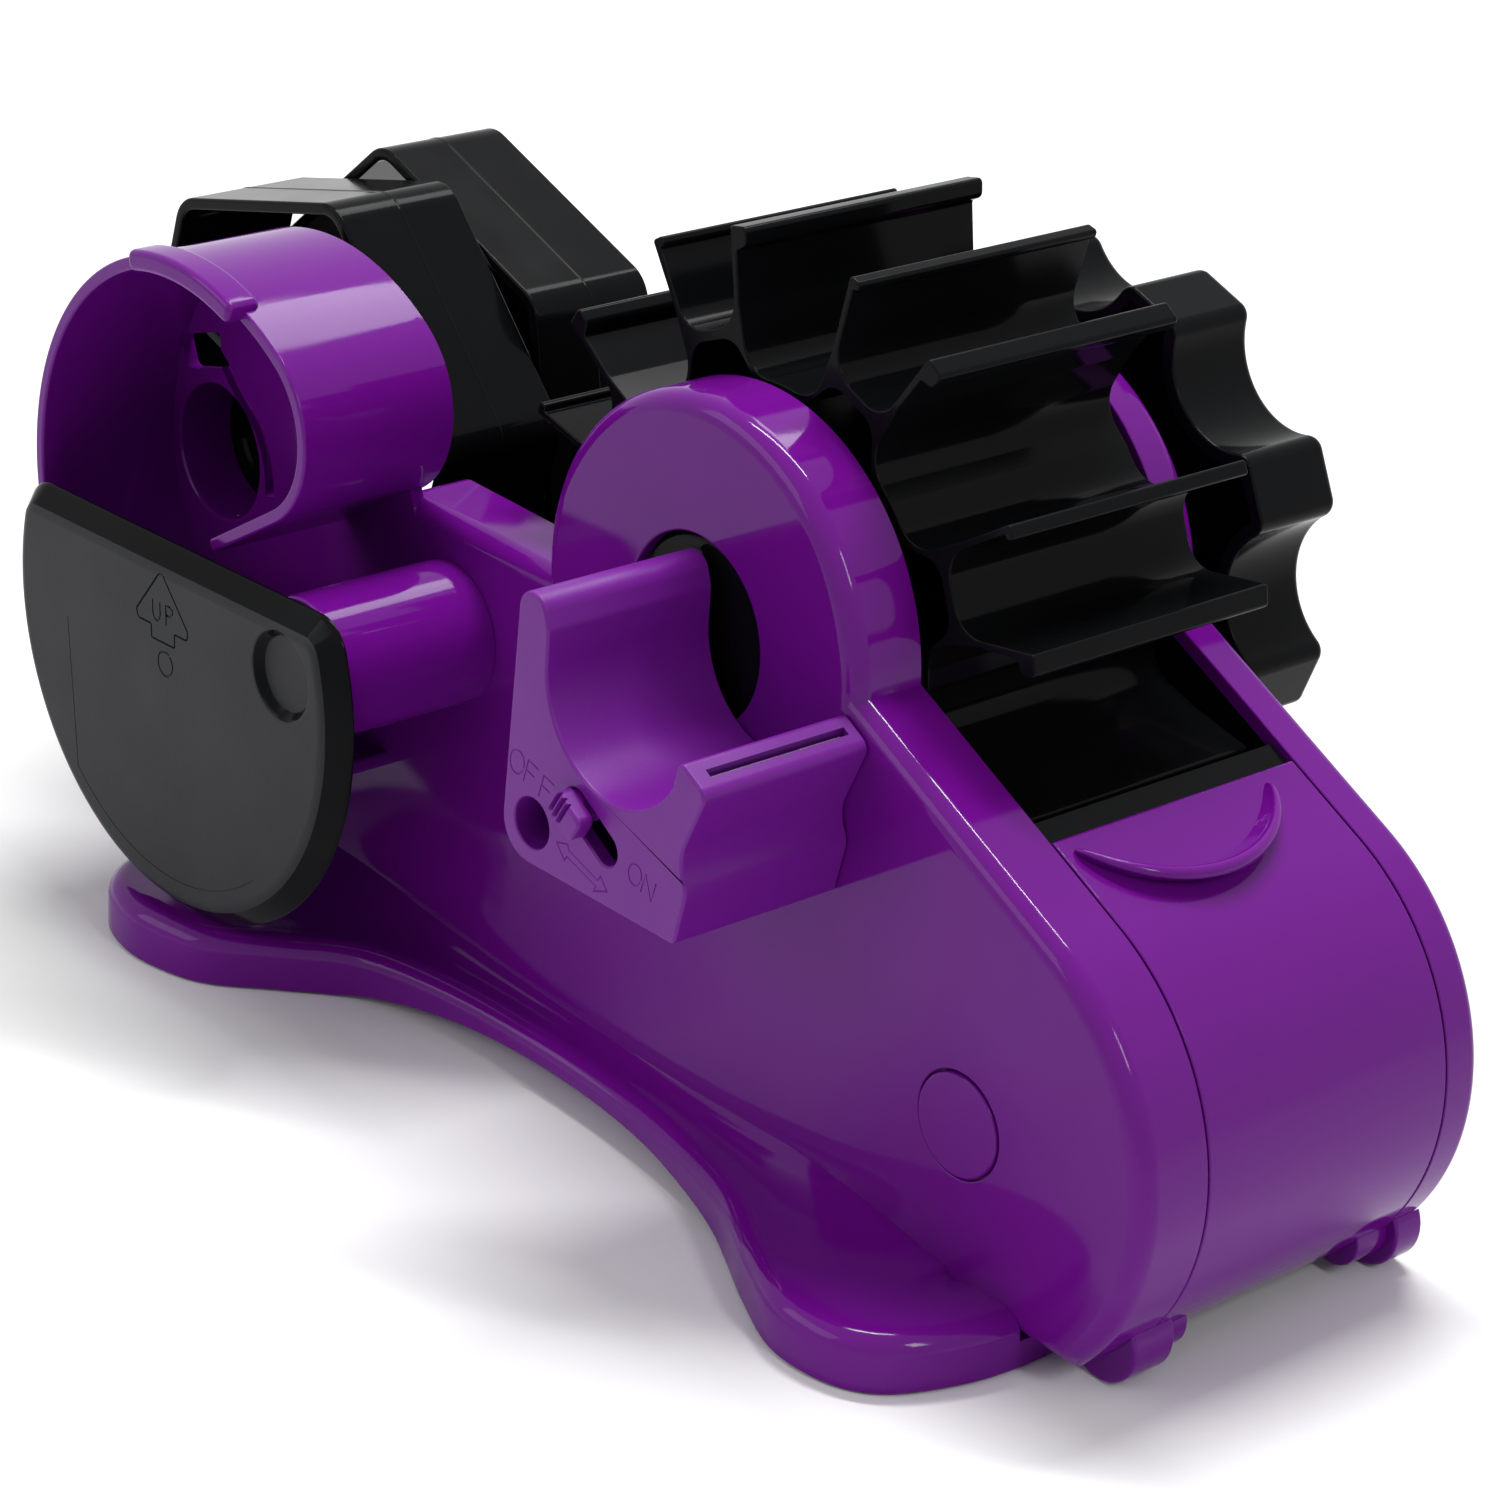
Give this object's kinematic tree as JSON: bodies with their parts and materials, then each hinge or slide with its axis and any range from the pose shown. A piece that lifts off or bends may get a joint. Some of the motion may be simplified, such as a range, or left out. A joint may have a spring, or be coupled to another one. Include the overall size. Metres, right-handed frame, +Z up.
{
  "type": "tape dispenser",
  "caption": "Semi-automatic tape dispenser: a hand-turned vaned wheel draws tape from two rear core reels, with a side roll cup, a swinging keeper flap and a cutter cradle.",
  "frame": {"origin": "centre of the bottom of the bounding box, on the table", "axes": "+X from the reels towards the nose, +Y from the roll cup towards the handwheel, +Z up"},
  "size_m": [0.2294, 0.1212, 0.1224],
  "materials": {
    "purple_gloss": "glossy moulded plastic",
    "purple_satin": "satin moulded plastic",
    "black_gloss": "glossy black plastic",
    "black_matte": "fine matte black plastic",
    "rubber": "soft black rubber",
    "steel": "bright steel"
  },
  "bodies": {
    "housing": {"base_plate": "black_matte", "base_screw_1": "steel", "base_screw_2": "steel", "base_screw_3": "steel", "base_screw_4": "steel", "base_skirt": "purple_gloss", "bay_floor": "black_gloss", "cradle_screw": "steel", "cutter_cradle": "purple_satin", "far_front_hook": "purple_gloss", "far_liner": "black_gloss", "far_plug": "purple_gloss", "far_shell": "purple_gloss", "near_front_hook": "purple_gloss", "near_liner": "black_gloss", "near_plug": "purple_gloss", "near_shell": "purple_gloss", "nose_panel": "purple_gloss", "reel_axle": "steel", "reel_axle_cap": "black_gloss", "roll_spindle": "purple_gloss", "rubber_foot_1": "rubber", "rubber_foot_2": "rubber", "rubber_foot_3": "rubber", "rubber_foot_4": "rubber"},
    "wheel": {"tape_wheel": "black_gloss", "wheel_axle": "steel", "near_journal": "black_gloss", "far_journal": "black_gloss", "handwheel": "black_gloss", "handwheel_screw": "steel"},
    "near_reel": {"near_reel": "black_gloss"},
    "far_reel": {"far_reel": "black_gloss"},
    "flap": {"keeper_flap": "black_matte"},
    "switch": {"blade_switch": "purple_satin"},
    "blade": {"cradle_blade": "steel", "blade_carrier": "black_matte"}
  },
  "joints": [
    {"name": "wheel_spin", "type": "hinge", "parent": "housing", "child": "wheel", "pos_m": [0.02821, 0.00245, 0.0738], "axis": [0, 1, 0], "continuous": true},
    {"name": "near_reel_spin", "type": "hinge", "parent": "housing", "child": "near_reel", "pos_m": [-0.07699, 0.00245, 0.0622], "axis": [0, 1, 0], "continuous": true},
    {"name": "far_reel_spin", "type": "hinge", "parent": "housing", "child": "far_reel", "pos_m": [-0.07699, 0.00245, 0.0622], "axis": [0, 1, 0], "continuous": true},
    {"name": "flap_swing", "type": "hinge", "parent": "housing", "child": "flap", "pos_m": [-0.02129, -0.05485, 0.0551], "axis": [0, 1, 0], "range_deg": [0, 36]},
    {"name": "switch_slide", "type": "slide", "parent": "housing", "child": "switch", "axis": [0.866, 0, -0.5], "range_m": [0, 0.007]},
    {"name": "blade_lift", "type": "slide", "parent": "housing", "child": "blade", "axis": [0.342, 0, 0.9397], "range_m": [0, 0.0035]}
  ],
  "couplings": [
    {"joint": "blade_lift", "follows": "switch_slide", "ratio": 0.5}
  ]
}
